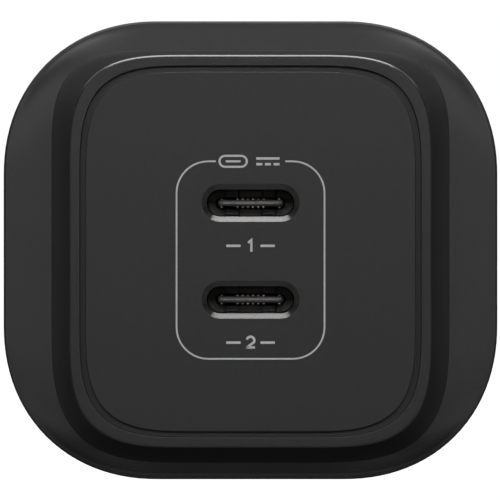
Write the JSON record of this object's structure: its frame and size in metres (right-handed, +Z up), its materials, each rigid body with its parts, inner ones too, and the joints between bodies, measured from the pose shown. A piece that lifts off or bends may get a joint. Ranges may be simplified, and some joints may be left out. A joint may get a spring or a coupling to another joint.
{
  "type": "usb wall charger",
  "caption": "Mains charger block with a flat-pin wall plug on its wide rear base and oval charging sockets in a flush front panel.",
  "frame": {"origin": "centre of the rear cover's flat face, the face that rests on the wall socket", "axes": "+Y into the wall, along the plug pins; +Z up, towards the earth pin; +X to the right as seen from the front"},
  "size_m": [0.05, 0.0687, 0.0464],
  "materials": {
    "housing_plastic": "moulded, fine even spark texture, dark neutral grey",
    "panel_plastic": "moulded, fine even spark texture, dark neutral grey",
    "cover_plastic": "moulded, slightly coarser matt texture",
    "pin_metal": "bright nickel plating over solid brass",
    "sleeve_plastic": "smooth satin black nylon",
    "earth_pin_plastic": "satin black glass-filled nylon",
    "board_laminate": "green solder resist over glass-fibre laminate",
    "port_steel": "drawn stainless sheet with a dark plating",
    "tongue_plastic": "black liquid-crystal polymer",
    "contact_gold": "gold flash over copper alloy",
    "ground_plate_steel": "stamped stainless sheet",
    "ferrite": "ground dark grey ferrite",
    "bobbin_resin": "dark phenolic resin",
    "winding_copper": "enamelled copper wire",
    "tape_yellow": "yellow polyester tape",
    "lead_tin": "tinned wire",
    "can_aluminium": "drawn bare can",
    "sleeve_film": "heat-shrunk dark blue film",
    "bung_rubber": "plain black rubber",
    "filter_resin": "yellow moulded box",
    "disc_resin": "blue dipped resin",
    "choke_ferrite": "green coated ferrite ring",
    "fuse_resin": "dark brown moulded cap",
    "chip_resin": "black moulded epoxy with tinned legs",
    "inductor_alloy": "pressed grey alloy powder",
    "spreader_copper": "bare rolled copper sheet",
    "insulation_film": "black fishpaper film",
    "pad_silicone": "grey-blue gap filler",
    "header_tin": "tinned brass pins"
  },
  "bodies": {
    "root": {"housing_shell": "housing_plastic", "face_panel": "panel_plastic", "rear_cover": "cover_plastic", "live_pin": "pin_metal", "neutral_pin": "pin_metal", "live_pin_sleeve": "sleeve_plastic", "neutral_pin_sleeve": "sleeve_plastic", "earth_pin": "earth_pin_plastic", "inlet_board": "board_laminate", "main_board": "board_laminate", "port_board": "board_laminate", "transformer_core_upper": "ferrite", "transformer_core_lower": "ferrite", "transformer_bobbin": "bobbin_resin", "transformer_winding": "winding_copper", "transformer_tape": "tape_yellow", "transformer_pins": "lead_tin", "bulk_capacitor_can_1": "can_aluminium", "bulk_capacitor_can_2": "can_aluminium", "bulk_capacitor_sleeve_1": "sleeve_film", "bulk_capacitor_sleeve_2": "sleeve_film", "bulk_capacitor_bungs": "bung_rubber", "bulk_capacitor_leads": "lead_tin", "filter_capacitor": "filter_resin", "filter_capacitor_leads": "lead_tin", "choke_core": "choke_ferrite", "choke_winding_live": "winding_copper", "choke_winding_neutral": "winding_copper", "fuse": "fuse_resin", "bridge_rectifier": "chip_resin", "safety_capacitor": "disc_resin", "output_capacitor_1": "can_aluminium", "output_capacitor_2": "can_aluminium", "output_inductor_1": "inductor_alloy", "output_inductor_2": "inductor_alloy", "power_switch": "chip_resin", "controller_chip": "chip_resin", "optocoupler": "chip_resin", "heat_spreader": "spreader_copper", "insulation_sheet": "insulation_film", "thermal_pad": "pad_silicone", "port_header": "header_tin", "inlet_header": "header_tin", "port_1_shell": "port_steel", "port_1_insulator": "tongue_plastic", "port_1_contacts": "contact_gold", "port_1_ground_plate": "ground_plate_steel", "port_2_shell": "port_steel", "port_2_insulator": "tongue_plastic", "port_2_contacts": "contact_gold", "port_2_ground_plate": "ground_plate_steel"}
  },
  "joints": []
}
